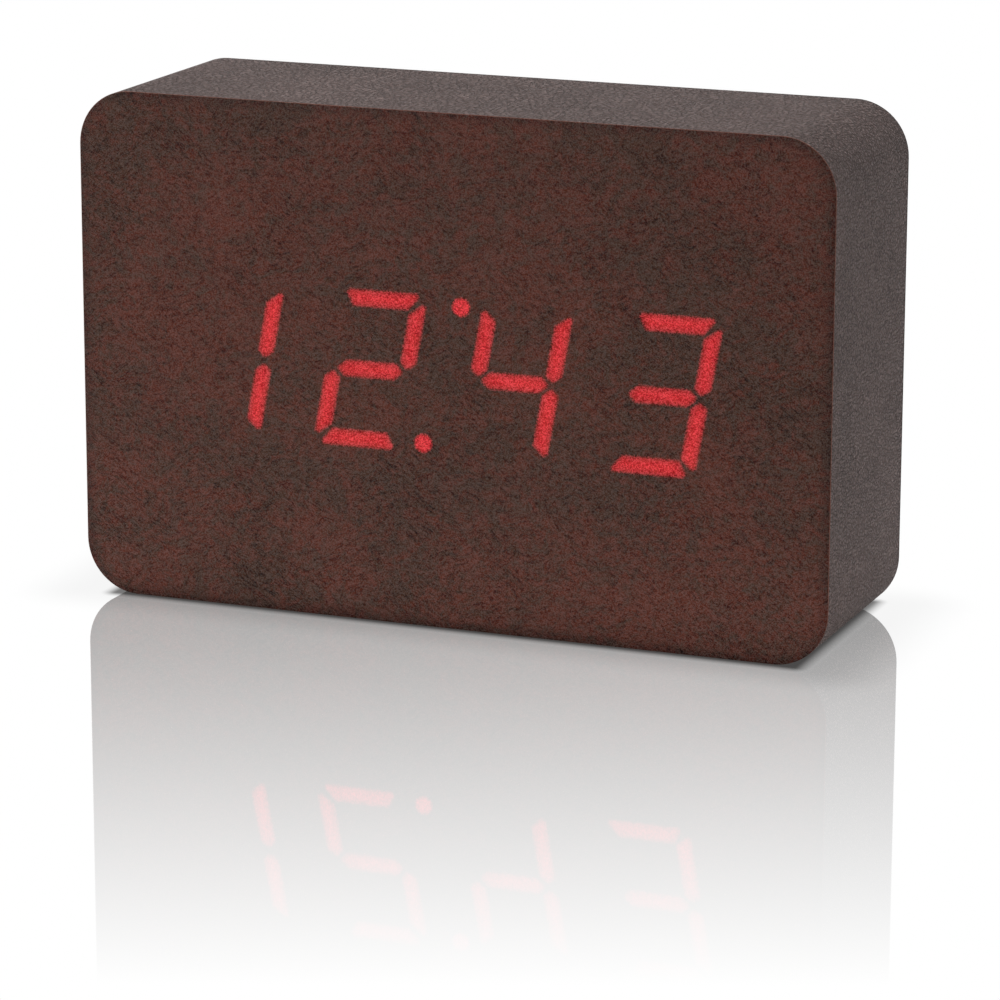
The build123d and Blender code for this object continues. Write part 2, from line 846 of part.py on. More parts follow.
def control_board():
    """Circuit board behind the buttons, on the housing's bosses."""
    height = 2 * (bay_half_height - board_gap)
    outline = Pos(control_x, middle_z) * Rectangle(control_width - 2 * board_gap, height)
    holes = [
        rod(x, z, control_board_front - overrun, control_board_back + overrun, screw_diameter + 2 * screw_gap)
        for x, z in boss_places()
    ]
    return layer(outline, control_board_front, control_board_back) - holes


def board_screws():
    """Three screws through the control board into the bosses."""
    return Compound([
        screw(x, z, control_board_front, board_screw_length, screw_diameter,
              small_head_diameter, small_head_height, -1)
        for x, z in boss_places()
    ])


def push_button(x):
    """Button cap with a shallow dish, a flange inside the plate and a foot on the switch."""
    flange_back = back_y - button_rest_gap
    flange_front = flange_back - button_flange_thickness
    cap_back = housing_back_y + button_proud
    cap = rod(x, button_row_z, flange_front, cap_back, button_diameter)
    cap = fillet(cap.edges().sort_by(Axis.Y)[-1], button_edge_radius)
    cap += rod(x, button_row_z, flange_front, flange_back, button_flange_diameter)
    cap += rod(x, button_row_z, flange_front - button_foot_length, flange_front, plunger_diameter)
    return cap - rod(x, button_row_z, cap_back - button_dish_depth, cap_back + overrun, button_dish_diameter)


def plunger(x):
    """Plunger of a tact switch, under the button's foot."""
    body_top = control_board_back + switch_body_height
    return rod(x, button_row_z, body_top - plunger_buried, body_top + plunger_proud, plunger_diameter)


def switch_case(x):
    """Square case of a tact switch, with the bore that its plunger moves in."""
    body_top = control_board_back + switch_body_height
    bore_floor = body_top - plunger_buried - button_travel - plunger_floor_gap
    case = block(around(x, switch_side), (control_board_back, body_top), around(button_row_z, switch_side))
    bore = rod(x, button_row_z, bore_floor, body_top + overrun, plunger_diameter + 2 * plunger_gap)
    return (case - bore).solid()


def tact_switches():
    """The three switch cases on the control board."""
    return Compound([switch_case(x) for x in button_places_x])


def power_socket():
    """Round low-voltage inlet: a square body on the board and a nose in the plate's hole."""
    nose_back = housing_back_y - socket_nose_recess
    body = block(around(socket_x, socket_side), (control_board_back, back_y), around(low_row_z, socket_side))
    nose = rod(socket_x, low_row_z, back_y, nose_back, socket_nose_diameter)
    bore = rod(socket_x, low_row_z, nose_back - socket_bore_depth, nose_back + overrun, socket_bore_diameter)
    return body + nose - bore


def power_socket_pin():
    """Centre pin of the inlet."""
    mouth = housing_back_y - socket_nose_recess
    return rod(socket_x, low_row_z, mouth - socket_bore_depth, mouth - socket_pin_recess, socket_pin_diameter)


def wired_down(x, spacing, diameter, top):
    """Two straight wires from a part down to the control board."""
    return [
        rod(x + side * spacing / 2, low_row_z, control_board_back, top, diameter) for side in (-1, 1)
    ]


def microphone():
    """Sound capsule behind its hole, on two wires."""
    back = back_y - microphone_gap
    front = back - microphone_height
    capsule = rod(microphone_x, low_row_z, front, back, microphone_diameter)
    return capsule + wired_down(microphone_x, lead_wire_spacing, lead_wire_diameter, front)


def thermistor():
    """Bead that feels the room's temperature behind the vents, on two thin wires."""
    centre = back_y - sensor_setback
    bead = Pos(sensor_x, centre, low_row_z) * Sphere(sensor_bead_diameter / 2)
    return bead + wired_down(sensor_x, sensor_wire_spacing, lead_wire_diameter, centre)


def buzzer():
    """Round alarm sounder on the inner side of the control board."""
    z = middle_z - buzzer_drop
    front = control_board_front - buzzer_height
    body = rod(buzzer_x, z, front, control_board_front, buzzer_diameter)
    return body - rod(buzzer_x, z, front - overrun, front + buzzer_hole_depth, buzzer_hole_diameter)


def microcontroller():
    """Chip that keeps the time and reads the buttons."""
    return chip(chip_x, middle_z + controller_rise, control_board_front, -1)


def clock_crystal():
    """Flat metal can beside the chip."""
    outline = Pos(chip_x, middle_z + crystal_rise) * SlotOverall(crystal_length, crystal_width)
    return layer(outline, control_board_front - crystal_height, control_board_front)


def capacitors():
    """Two round capacitors side by side."""
    front = control_board_front - capacitor_height
    heights = [middle_z + capacitor_rise + side * capacitor_spacing / 2 for side in (-1, 1)]
    return Compound([
        rod(capacitor_x, z, front, control_board_front, capacitor_diameter).solid() for z in heights
    ])


def ribbon_headers():
    """One plug block on each board for the ribbon cable."""
    x_span = around(chip_x, header_length)
    display_z_span = around(display_z + display_header_rise, header_width)
    control_z_span = around(middle_z - control_header_drop, header_width)
    on_display = block(x_span, (display_board_back, display_board_back + header_height), display_z_span)
    on_control = block(x_span, (control_board_front - header_height, control_board_front), control_z_span)
    return Compound([on_display.solid(), on_control.solid()])


def ribbon_cable():
    """Flat cable between the two plug blocks, bent once down and once back."""
    start_y = display_board_back + header_height
    end_y = control_board_front - header_height
    start_z = display_z + display_header_rise
    end_z = middle_z - control_header_drop
    middle_y = (start_y + end_y) / 2
    bend_radius = (middle_y - start_y) * ribbon_bend_share
    print("ribbon bend radius", round(bend_radius, 3))
    path = FilletPolyline(
        (chip_x, start_y, start_z), (chip_x, middle_y, start_z),
        (chip_x, middle_y, end_z), (chip_x, end_y, end_z),
        radius=bend_radius,
    )
    section_plane = Plane(origin=path @ 0, x_dir=(1, 0, 0), z_dir=path % 0)
    return sweep(section_plane * Rectangle(ribbon_width, ribbon_thickness), path)


nodes = {
    "front_skin": front_skin(),
    "lit_windows": lit_windows(),
    "front_panel": front_panel(),
    "case_ring": case_ring(),
    "side_wrap": side_wrap(),
    "rear_panel": rear_panel(),
    "rear_skin": rear_skin(),
    "diffuser_sheet": diffuser_sheet(),
    "reflector_frame": reflector_frame(),
    "display_board": display_board(),
    "segment_leds": segment_leds(),
    "display_driver": display_driver(),
    "display_screws": display_screws(),
    "control_housing": control_housing(),
    "housing_screws": housing_screws(),
    "battery_door": battery_door(),
    "battery_springs": battery_springs(),
    "contact_plates": contact_plates(),
    "positive_lead": battery_lead(0),
    "negative_lead": battery_lead(-1),
    "control_board": control_board(),
    "board_screws": board_screws(),
    "tact_switches": tact_switches(),
    "power_socket": power_socket(),
    "power_socket_pin": power_socket_pin(),
    "microphone": microphone(),
    "thermistor": thermistor(),
    "buzzer": buzzer(),
    "microcontroller": microcontroller(),
    "clock_crystal": clock_crystal(),
    "capacitors": capacitors(),
    "ribbon_headers": ribbon_headers(),
    "ribbon_cable": ribbon_cable(),
}
for cell_index in range(cell_count):
    nodes[f"aaa_cell_{cell_index + 1}"] = cell(cell_index)
for button_name, button_x in zip(button_names, button_places_x):
    nodes[f"{button_name}_button"] = push_button(button_x)
    nodes[f"{button_name}_plunger"] = plunger(button_x)

os.makedirs("parts", exist_ok=True)
for node_name, shape in nodes.items():
    export_step(shape, f"parts/{node_name}.step")
print("front at", round(front_y, 3), "back film at", round(back_y, 3), "housing at", round(housing_back_y, 3))
print("control board from", round(control_board_front, 3), "to", round(control_board_back, 3))
print("display board back", round(display_board_back, 3), "tub front", round(tub_front, 3))
print("door from", round(door_left, 3), "length", round(door_length, 3))
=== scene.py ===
from math import cos, pi, radians, sin

import bmesh
import bpy
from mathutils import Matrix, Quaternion, Vector


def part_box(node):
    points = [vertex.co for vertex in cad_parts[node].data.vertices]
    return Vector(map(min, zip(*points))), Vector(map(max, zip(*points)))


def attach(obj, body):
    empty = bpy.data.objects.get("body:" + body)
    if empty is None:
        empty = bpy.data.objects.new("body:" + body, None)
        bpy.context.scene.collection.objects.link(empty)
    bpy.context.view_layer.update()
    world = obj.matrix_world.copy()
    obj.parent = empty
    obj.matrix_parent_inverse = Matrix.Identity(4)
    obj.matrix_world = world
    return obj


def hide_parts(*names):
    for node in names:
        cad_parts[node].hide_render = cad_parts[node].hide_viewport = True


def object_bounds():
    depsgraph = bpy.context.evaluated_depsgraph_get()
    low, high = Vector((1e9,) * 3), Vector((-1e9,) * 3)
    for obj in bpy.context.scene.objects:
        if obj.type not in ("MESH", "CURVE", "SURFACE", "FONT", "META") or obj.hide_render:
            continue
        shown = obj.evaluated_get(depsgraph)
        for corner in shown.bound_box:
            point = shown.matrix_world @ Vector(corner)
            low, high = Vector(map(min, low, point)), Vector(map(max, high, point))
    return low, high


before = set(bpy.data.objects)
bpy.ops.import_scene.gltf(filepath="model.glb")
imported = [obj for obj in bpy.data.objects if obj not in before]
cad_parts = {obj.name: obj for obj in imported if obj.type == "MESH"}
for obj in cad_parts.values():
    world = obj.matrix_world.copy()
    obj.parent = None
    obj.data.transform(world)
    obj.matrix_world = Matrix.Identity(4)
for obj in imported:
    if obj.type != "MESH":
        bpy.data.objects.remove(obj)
cad_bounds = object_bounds()


# The camera looks at the front of the clock from its right and a little above, from as far away as
# a long product lens stands. Its place and turn were fitted to the case's corners and edges.
mm = 0.001
body_centre = Vector((0, -1.6, 49)) * mm
camera_distance = 880 * mm
camera_azimuth = radians(21.72)
camera_elevation = radians(12.41)
look_azimuth = radians(21.60)
look_pitch = radians(14.26)
camera_roll = radians(0.14)

camera_data = bpy.data.cameras.new("camera")
camera_data.lens = 166.64
camera_data.sensor_width = 36
camera_data.clip_start = 10 * mm
camera = bpy.data.objects.new("camera", camera_data)
bpy.context.scene.collection.objects.link(camera)
bpy.context.scene.camera = camera
sideways = cos(camera_elevation)
camera.location = body_centre + camera_distance * Vector(
    (sin(camera_azimuth) * sideways, -cos(camera_azimuth) * sideways, sin(camera_elevation)))
flat = cos(look_pitch)
look = Vector((-sin(look_azimuth) * flat, cos(look_azimuth) * flat, -sin(look_pitch)))
camera.rotation_euler = (look.to_track_quat("-Z", "Y") @ Quaternion((0, 0, 1), camera_roll)).to_euler()
bpy.context.scene.view_settings.view_transform = "Standard"


# The studio: a white room that lights the clock evenly from all round, a large soft lamp in front
# on the left and one above. The world is white where the camera or a reflection sees it, but for
# its ceiling, which is dimmer in reflections.
class Socket:
    """One output of a node, ready for sums: every sum adds the Math node that it stands for."""

    def __init__(self, tree, output):
        self.tree = tree
        self.output = output

    def other(self, name):
        """Another output of the same node."""
        return Socket(self.tree, self.output.node.outputs[name])

    def __add__(self, value):
        return self.tree.maths("ADD", self, value)

    def __sub__(self, value):
        return self.tree.maths("SUBTRACT", self, value)

    def __rsub__(self, value):
        return self.tree.maths("SUBTRACT", value, self)

    def __mul__(self, value):
        return self.tree.maths("MULTIPLY", self, value)

    def __truediv__(self, value):
        return self.tree.maths("DIVIDE", self, value)

    def __pow__(self, value):
        return self.tree.maths("POWER", self, value)

    def __abs__(self):
        return self.tree.maths("ABSOLUTE", self)

    __radd__ = __add__
    __rmul__ = __mul__


class Tree:
    """A node tree that is filled in from Python."""

    def __init__(self, tree):
        self.tree = tree

    def node(self, kind, settings, sockets, output=0):
        """Adds one node: first its settings, then the values or links of its sockets."""
        made = self.tree.nodes.new(kind)
        for name, value in settings.items():
            if name == "stops":
                while len(made.color_ramp.elements) < len(value):
                    made.color_ramp.elements.new(0)
                for stop, (place, colour) in zip(made.color_ramp.elements, value):
                    stop.position = place
                    stop.color = colour
            else:
                setattr(made, name, value)
        for name, value in sockets.items():
            if isinstance(value, Socket):
                self.tree.links.new(value.output, made.inputs[name])
            else:
                made.inputs[name].default_value = value
        return Socket(self, made.outputs[output]) if made.outputs else made

    def maths(self, operation, *values):
        return self.node("ShaderNodeMath", {"operation": operation}, dict(enumerate(values)))

    def vectors(self, operation, *values, output=0):
        return self.node("ShaderNodeVectorMath", {"operation": operation}, dict(enumerate(values)), output)

    def step(self, value, low, high):
        """Rises smoothly from 0 at the low end to 1 at the high end."""
        return self.node("ShaderNodeMapRange", {"interpolation_type": "SMOOTHSTEP"},
                         {"Value": value, "From Min": low, "From Max": high})

    def mix(self, factor, first, second):
        """Goes from the first colour to the second."""
        return self.node("ShaderNodeMix", {"data_type": "RGBA"}, {0: factor, 6: first, 7: second}, 2)


def colour(red, green, blue):
    """A colour written as it looks on screen, from 0 to 255, turned into the light that it is."""
    shares = [value / 255 for value in (red, green, blue)]
    light = [s / 12.92 if s <= 0.04045 else ((s + 0.055) / 1.055) ** 2.4 for s in shares]
    return (*light, 1)


white = colour(255, 255, 255)
room_light = 0.42
ceiling_shine = 0.35
ceiling_start = 0.36
ceiling_full = 0.6

world = bpy.data.worlds.new("room")
world.use_nodes = True
world.node_tree.nodes.clear()
bpy.context.scene.world = world
room = Tree(world.node_tree)
direction = room.node("ShaderNodeTexCoord", {}, {}, "Generated")
height = room.node("ShaderNodeSeparateXYZ", {}, {"Vector": direction}, "Z")
camera_ray = room.node("ShaderNodeLightPath", {}, {}, "Is Camera Ray")
seen_room = room.maths("MAXIMUM", camera_ray, camera_ray.other("Is Transmission Ray"))
ceiling = room.step(height, ceiling_start, ceiling_full)
mirrored_room = camera_ray.other("Is Glossy Ray") * (1 - ceiling * (1 - ceiling_shine))
bright = room.maths("MAXIMUM", seen_room, mirrored_room)
backdrop = room.node("ShaderNodeBackground", {}, {
    "Color": white, "Strength": bright * (1 - room_light) + room_light})
room.node("ShaderNodeOutputWorld", {}, {"Surface": backdrop})


def soft_lamp(name, place, size, power):
    """A round softbox that faces the clock."""
    lamp_data = bpy.data.lights.new(name, "AREA")
    lamp_data.shape = "DISK"
    lamp_data.size = size
    lamp_data.energy = power
    lamp = bpy.data.objects.new(name, lamp_data)
    bpy.context.scene.collection.objects.link(lamp)
    lamp.location = place
    lamp.rotation_euler = (body_centre - lamp.location).to_track_quat("-Z", "Y").to_euler()


soft_lamp("key_lamp", (-0.50, -0.75, 0.06), 0.4, 4.95)
soft_lamp("top_lamp", (-0.25, -0.10, 0.90), 0.6, 6.9)


# The floor is a sheet of polished white acrylic, lit from below round the clock. It mirrors the
# clock, less and less away from its middle line, until it is plain and white. The clock leaves a
# wide faint shadow on it, and a narrow dark one where it touches.
class Finish(Tree):
    """A material that reads its piece's own coordinates."""

    def __init__(self, name):
        self.material = bpy.data.materials.new(name)
        self.material.use_nodes = True
        self.material.node_tree.nodes.clear()
        super().__init__(self.material.node_tree)
        self.place = self.node("ShaderNodeTexCoord", {}, {}, "Object")

    def output(self, shader):
        self.node("ShaderNodeOutputMaterial", {}, {"Surface": shader})

    def principled(self, sockets):
        self.output(self.node("ShaderNodeBsdfPrincipled", {}, sockets))

    def pattern_place(self, sizes, turn=(0, 0, 0)):
        """Coordinates in which one unit is as long as the given sizes along the turned axes."""
        return self.node("ShaderNodeMapping", {"vector_type": "TEXTURE"},
                         {"Vector": self.place, "Rotation": turn, "Scale": sizes})

    def noise(self, sizes, turn=(0, 0, 0), detail=2.0, roughness=0.5, warp=None):
        """Cloudy noise, about 0.5 on average, whose lumps have the given sizes."""
        place = self.pattern_place(sizes, turn)
        if warp:
            place = self.vectors("ADD", place, warp)
        return self.node("ShaderNodeTexNoise", {},
                         {"Vector": place, "Scale": 1.0, "Detail": detail, "Roughness": roughness})

    def warping(self, size, detail, pull):
        """A shift of a pattern's coordinates by up to half the pull, in lumps of the given size."""
        place = self.pattern_place((size, size, size))
        sockets = {"Vector": place, "Scale": 1.0, "Detail": detail}
        lumps = self.node("ShaderNodeTexNoise", {}, sockets, "Color")
        centred = self.vectors("SUBTRACT", lumps, (0.5, 0.5, 0.5))
        return self.vectors("MULTIPLY", centred, (pull, pull, pull))

    def grey(self, value):
        """The same value on all three channels."""
        return self.node("ShaderNodeCombineXYZ", {}, {0: value, 1: value, 2: value})

    def bump(self, height, depth):
        """Relief whose height, from 0 to 1, stands for the given depth."""
        return self.node("ShaderNodeBump", {}, {"Height": height, "Distance": depth, "Strength": 1.0})


floor_size = 6.0
floor_drop = 0.02 * mm
mirror_strength = 0.62
mirror_reach = 215 * mm
mirror_fade = 1.25
mirror_haze = 0.02
shadow_reach = 16 * mm
shadow_strength = 0.22
shadow_colour = colour(46, 44, 43)
foot_inset = 6.2 * mm
contact_reach = 4.5 * mm
contact_strength = 0.95
contact_dulling = 0.9
table_glow = 2.7
table_share = 0.5
table_gap = 12 * mm
table_reach = 170 * mm
floor_white = colour(240, 240, 240)

floor_mesh = bpy.data.meshes.new("floor")
floor_corners = [(x * floor_size / 2, y * floor_size / 2, -floor_drop)
                 for x, y in ((-1, -1), (1, -1), (1, 1), (-1, 1))]
floor_mesh.from_pydata(floor_corners, [], [(0, 1, 2, 3)])
floor = bpy.data.objects.new("floor", floor_mesh)
bpy.context.scene.collection.objects.link(floor)

acrylic = Finish("polished_acrylic")
case_side, case_back = cad_bounds[1][0], cad_bounds[1][1]
floor_x = acrylic.node("ShaderNodeSeparateXYZ", {}, {"Vector": acrylic.place}, "X")
beside = acrylic.maths("MAXIMUM", abs(floor_x) - case_side, 0)
before = acrylic.maths("MAXIMUM", abs(floor_x.other("Y")) - case_back, 0)
away = (beside * beside + before * before) ** 0.5
past_foot = acrylic.maths("MAXIMUM", abs(floor_x) - (case_side - foot_inset), 0)
from_foot = (past_foot * past_foot + before * before) ** 0.5
toward_camera = (sin(look_azimuth), -cos(look_azimuth), 0)
from_middle = abs(acrylic.vectors("DOT_PRODUCT", acrylic.place, toward_camera, output="Value"))
floor_ray = acrylic.node("ShaderNodeLightPath", {}, {}, "Is Camera Ray")
seen_floor = acrylic.maths("MAXIMUM", floor_ray, floor_ray.other("Is Glossy Ray"))


def floor_mix(factor, first, second):
    return acrylic.node("ShaderNodeMixShader", {}, {0: factor, 1: first, 2: second})


def floor_light(tone, strength):
    return acrylic.node("ShaderNodeEmission", {}, {"Color": tone, "Strength": strength})


shadow = (1 - acrylic.step(away, 0, shadow_reach)) * shadow_strength
contact = (1 - acrylic.step(from_foot, 0, contact_reach)) * contact_strength
darkest = acrylic.maths("MAXIMUM", shadow, contact)
shaded = floor_mix(darkest, floor_light(white, 1.0), floor_light(shadow_colour, 1.0))
matt = acrylic.node("ShaderNodeBsdfDiffuse", {}, {"Color": floor_white})
round_clock = (1 - acrylic.step(away, 0, table_reach)) * acrylic.step(away, 0, table_gap) * table_share
table = floor_mix(round_clock, matt, floor_light(white, table_glow))
mirror = acrylic.node("ShaderNodeBsdfGlossy", {}, {"Color": white, "Roughness": mirror_haze})
fading = acrylic.maths("MAXIMUM", 1 - (from_middle / mirror_reach) ** mirror_fade, 0)
mirrored_floor = fading * mirror_strength * seen_floor * (1 - contact * contact * contact_dulling)
acrylic.output(floor_mix(mirrored_floor, floor_mix(seen_floor, table, shaded), mirror))
floor_mesh.materials.append(acrylic.material)


# The front film: one sheet of leather-look film over the fibreboard front, pressed down over the
# board's eased edge and cut flush. Red lamps shine through it where the board has its windows.
case_width = 150 * mm
case_height = 98 * mm
corner_radius = 10.5 * mm
corner_steps = 16
edge_roll = [  # how far in from the case's outline, and how far down, in millimetres
    (3.2, 0.0), (3.0, 0.0), (2.4, 0.018), (1.8, 0.052), (1.3, 0.095), (0.9, 0.14), (0.55, 0.19),
    (0.28, 0.24), (0.1, 0.285), (0.0, 0.33)]
# The film's colour is darkened within rim_width millimetres of its outline, by up to rim_shade: painted
# shade of its rolled edge.
rim_width = 2.4
rim_shade = 0.3
film_front_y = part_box("front_skin")[0].y
film_back_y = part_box("front_skin")[1].y
middle_z = case_height / 2


def case_outline(inset):
    """Points of the case's rounded outline as X and Z, anticlockwise from its bottom right corner."""
    radius = corner_radius - inset
    points = []
    for quarter, (side, level) in enumerate([(1, -1), (1, 1), (-1, 1), (-1, -1)]):
        centre_x = side * (case_width / 2 - corner_radius)
        centre_z = middle_z + level * (case_height / 2 - corner_radius)
        for step in range(corner_steps + 1):
            angle = (quarter - 1 + step / corner_steps) * pi / 2
            points.append((centre_x + radius * cos(angle), centre_z + radius * sin(angle)))
    return points


def piece_from(mesh_edit, name, material, smooth_below=radians(12)):
    """Makes a piece from an edited mesh: outward faces, smooth but for its sharper edges."""
    bmesh.ops.recalc_face_normals(mesh_edit, faces=mesh_edit.faces)
    for face in mesh_edit.faces:
        face.smooth = True
    for edge in mesh_edit.edges:
        edge.smooth = edge.is_manifold and edge.calc_face_angle() < smooth_below
    mesh = bpy.data.meshes.new(name)
    mesh_edit.to_mesh(mesh)
    mesh_edit.free()
    mesh.materials.append(material)
    piece = bpy.data.objects.new(name, mesh)
    bpy.context.scene.collection.objects.link(piece)
    return piece


# The sizes of the digits and their segments are in millimetres, from each digit's middle.
digit_height = 30.0
digit_width = 17.8
digit_pitch = 29.0
stroke = 3.0
end_bar_outer = 7.6
end_bar_inner = 5.5
middle_bar_tip = 6.65
middle_bar_shoulder = 5.0
middle_drop = 0.1
post_outer_end = 13.5
post_inner_end = 11.1
lower_right_extra = 0.5
post_tip_gap = 0.65
post_shoulder_gap = 1.9
segment_corner = 0.6
segment_softness = 0.5
sharp_corner_sine = 0.8
display_x = -0.8
display_z = 48.7
slant_share = 0.185
dot_radius = 1.6
dot_places = [(3.0, 61.95), (-4.6, 35.45)]


def end_bar(level):
    outer = level * digit_height / 2
    inner = outer - level * stroke
    return [(-end_bar_outer, outer), (end_bar_outer, outer),
            (end_bar_inner, inner), (-end_bar_inner, inner)]


def middle_bar():
    top = stroke / 2 - middle_drop
    bottom = -stroke / 2 - middle_drop
    return [(-middle_bar_tip, -middle_drop), (-middle_bar_shoulder, top), (middle_bar_shoulder, top),
            (middle_bar_tip, -middle_drop), (middle_bar_shoulder, bottom), (-middle_bar_shoulder, bottom)]


def post(side, level, extra=0):
    outer = side * digit_width / 2
    inner = outer - side * stroke
    shoulder = level * post_shoulder_gap - middle_drop
    tip = level * post_tip_gap - middle_drop
    return [(outer, level * (post_outer_end + extra)), (outer, shoulder), ((outer + inner) / 2, tip),
            (inner, shoulder), (inner, level * (post_inner_end + extra))]


segment_shapes = {
    "a": end_bar(1), "b": post(1, 1), "c": post(1, -1, lower_right_extra), "d": end_bar(-1),
    "e": post(-1, -1), "f": post(-1, 1), "g": middle_bar(),
}
lit_segments = ["bc", "abged", "fgbc", "abgcd"]


def half_planes(corners):
    """The sides of a segment, and a cut across each sharp corner where its rounding peaks."""
    centre = Vector([sum(values) / len(corners) for values in zip(*corners)])
    points = [Vector(corner) for corner in corners]
    planes = []
    for before, point, after in zip(points[-1:] + points[:-1], points, points[1:] + points[:1]):
        along = (after - point).normalized()
        across = Vector((along.y, -along.x))
        if across.dot(point - centre) < 0:
            across.negate()
        planes.append((across, across.dot(point)))
        outward = (point - before).normalized() + (point - after).normalized()
        outward.normalize()
        half_angle_sine = abs(outward.x * along.y - outward.y * along.x)
        if half_angle_sine < sharp_corner_sine:
            rounding = segment_corner * (1 - half_angle_sine) / half_angle_sine
            planes.append((outward, outward.dot(point) - rounding))
    return planes


def depth_inside(finish, place, corners):
    """How far inside a segment a point lies, in millimetres."""
    depth = None
    for across, reach in half_planes(corners):
        side = finish.vectors("DOT_PRODUCT", place, (-across.x, -across.y, reach), output="Value")
        depth = side if depth is None else finish.maths("SMOOTH_MIN", depth, side, segment_softness)
    return depth


film = Finish("leather_look_film")
film_x = film.node("ShaderNodeSeparateXYZ", {}, {"Vector": film.place}, "X")
x_mm = film_x * (1 / mm)
z_mm = film_x.other("Z") * (1 / mm)
v = z_mm - display_z
lit_depth = None
for index, letters in enumerate(lit_segments):
    centre_x = display_x + (index - (len(lit_segments) - 1) / 2) * digit_pitch
    u = x_mm - centre_x - v * slant_share
    place = film.node("ShaderNodeCombineXYZ", {}, {"X": u, "Y": v, "Z": 1.0})
    for letter in letters:
        depth = depth_inside(film, place, segment_shapes[letter])
        lit_depth = depth if lit_depth is None else film.maths("MAXIMUM", lit_depth, depth)
dot_depth = None
for dot_x, dot_z in dot_places:
    across = x_mm - dot_x
    along = z_mm - dot_z
    depth = dot_radius - (across * across + along * along) ** 0.5
    dot_depth = depth if dot_depth is None else film.maths("MAXIMUM", dot_depth, depth)

film_warp = film.warping(6 * mm, 3.0, 5.0)
mottle = film.noise((3.2 * mm, 3.2 * mm, 2.2 * mm), (0, radians(-20), 0), 5.0, 0.6, film_warp)
rising = film.noise((1.5 * mm, 1.5 * mm, 0.55 * mm), (0, radians(-24), 0), 3.0, 0.62, film_warp)
falling = film.noise((1.5 * mm, 1.5 * mm, 0.55 * mm), (0, radians(30), 0), 3.0, 0.62, film_warp)
flow = film.step(film.noise((12 * mm, 12 * mm, 9 * mm), detail=1.0), 0.42, 0.58)
strokes = rising * flow + falling * (1 - flow)
hairs = film.noise((0.75 * mm, 0.75 * mm, 0.45 * mm), (0, radians(-20), 0), 2.0, 0.6, film_warp)
creases = (1 - film.step(strokes, 0.34, 0.56)) * 0.75 + (1 - film.step(abs(hairs - 0.5), 0.0, 0.07)) * 0.4
long_folds = film.noise((5 * mm, 5 * mm, 0.9 * mm), (0, radians(42), 0), 3.0, 0.55)
folded = film.step(film.noise((16 * mm, 16 * mm, 10 * mm), (0, radians(42), 0), 1.0), 0.48, 0.6)
creases = creases + (1 - film.step(abs(long_folds - 0.5), 0.0, 0.03)) * folded * 0.5
clouds = film.noise((30 * mm, 30 * mm, 20 * mm), detail=3.0)
grain = film.step(film.noise((0.25 * mm, 0.25 * mm, 0.22 * mm), detail=1.0, roughness=0.7), 0.34, 0.66)

film_red = (0.063, 0.0205, 0.0145, 1)
film_olive = (0.0415, 0.0220, 0.0160, 1)
film_edge_colour = (0.22, 0.10, 0.075, 1)
cut_edge = (0.27 * mm, 0.34 * mm)
cut_edge_rise = (2.0, 14.0)
cut_edge_share = 0.8
skin = film.mix(film.step(mottle * 0.65 + clouds * 0.35, 0.39, 0.61), film_olive, film_red)
# Painted shade: the film's colour darkens towards its outline all round, as if its rolled edge lay in
# shadow. The creases and clouds are the print's own tone.
past_x = abs(film_x) - (case_width / 2 - corner_radius)
past_z = abs(film_x.other("Z") - middle_z) - (case_height / 2 - corner_radius)
round_x = film.maths("MAXIMUM", past_x, 0)
round_z = film.maths("MAXIMUM", past_z, 0)
straight = film.maths("MINIMUM", film.maths("MAXIMUM", past_x, past_z), 0)
past = (round_x * round_x + round_z * round_z) ** 0.5 + straight
rim = 1 - film.step((corner_radius - past) * (1 / mm), 0.0, rim_width)
print_tone_and_rim_shade = (1.22 - creases * 0.6 + (clouds - 0.5) * 0.35) * (1 - rim * rim_shade)
# Painted sheen: a fine neutral speckle added to the film's colour stands in for glints of light off its
# grain.
bloom_and_painted_sheen = (grain - 0.5) * 0.026 - creases * 0.003
skin = film.vectors("ADD", film.vectors("MULTIPLY", skin, film.grey(print_tone_and_rim_shade)), film.grey(bloom_and_painted_sheen))
cut = film.step(film_x.other("Y"), film_front_y + cut_edge[0], film_front_y + cut_edge[1])
# The cut edge shows the film's own paler edge colour, faded out over the lowest millimetres so the edge is
# darker at the bottom: painted shade against the light of the floor's glow.
skin = film.mix(cut * film.step(z_mm, *cut_edge_rise) * cut_edge_share, skin, film_edge_colour)

# The light spreads in the film, so the edge of each lit area is blurred, in millimetres of depth.
segment_blur = (-0.44, 0.34)
dot_blur = (-0.45, 0.35)
core_blur = (-0.2, 1.4)
rough_rim = (grain - 0.5) * 0.25
lit = film.step(lit_depth + rough_rim, *segment_blur)
dot_lit = film.step(dot_depth + rough_rim, *dot_blur)
core = 0.7 + film.step(lit_depth, *core_blur) * 0.4
shine = core * (0.64 + grain * 0.76 - creases * 0.2)
specks = film.step(grain, 0.5, 1.0)
lit_red = (0.48, 0.0, 0.010, 1)
dot_red = (0.78, 0.004, 0.022, 1)
pink = (0.0, 0.011, 0.014, 1)
unlit = (0, 0, 0, 1)
glow_red = film.mix(dot_lit, film.mix(lit, unlit, lit_red), dot_red)
glow_red = film.vectors("MULTIPLY", glow_red, film.grey(shine))
speck_glow = film.mix(specks * film.maths("MAXIMUM", lit, dot_lit), unlit, pink)
glow_red = film.vectors("ADD", glow_red, speck_glow)
relief = film.bump((1 - creases) * 0.7 + grain * 0.3, 0.08 * mm)
film.principled({
    "Base Color": skin, "Roughness": 0.62, "IOR": 1.2, "Normal": relief,
    "Emission Color": glow_red, "Emission Strength": 1.0,
})


def quads_between(edit, ring, next_ring):
    """Joins two closed rings of as many points with quads."""
    for index in range(len(ring)):
        after = (index + 1) % len(ring)
        edit.faces.new((ring[index], ring[after], next_ring[after], next_ring[index]))


